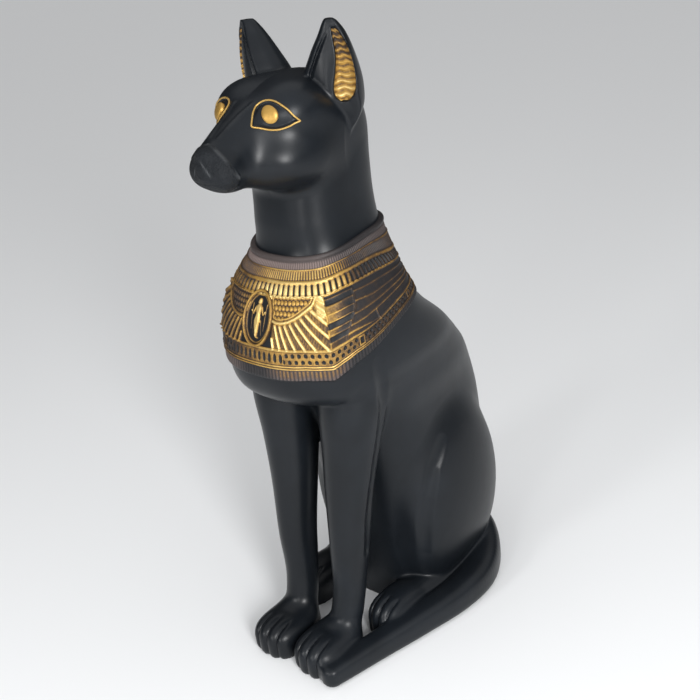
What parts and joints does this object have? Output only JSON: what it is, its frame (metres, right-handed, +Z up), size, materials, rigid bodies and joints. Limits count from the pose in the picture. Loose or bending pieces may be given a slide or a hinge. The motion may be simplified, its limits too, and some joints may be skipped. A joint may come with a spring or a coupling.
{
  "type": "bastet cat figure",
  "caption": "Seated cat figure in the ancient Egyptian manner, upright on its haunches, with large pricked ears, a broad winged collar and its tail laid forward along its side.",
  "frame": {"origin": "on the ground, under the middle of the figure's outline box", "axes": "+Z up, +X to the cat's left, the side its tail lies on; the cat looks along -Y"},
  "size_m": [0.2, 0.313, 0.6],
  "materials": {
    "black_paint": "satin-gloss black paint, faintly blue-grey, on cast resin",
    "antique_gold_paint": "rubbed antique gold paint over black, on the collar's relief, in the ears and round the eyes"
  },
  "bodies": {
    "root": {"bastet_cat_figure": "black_paint"}
  },
  "joints": []
}
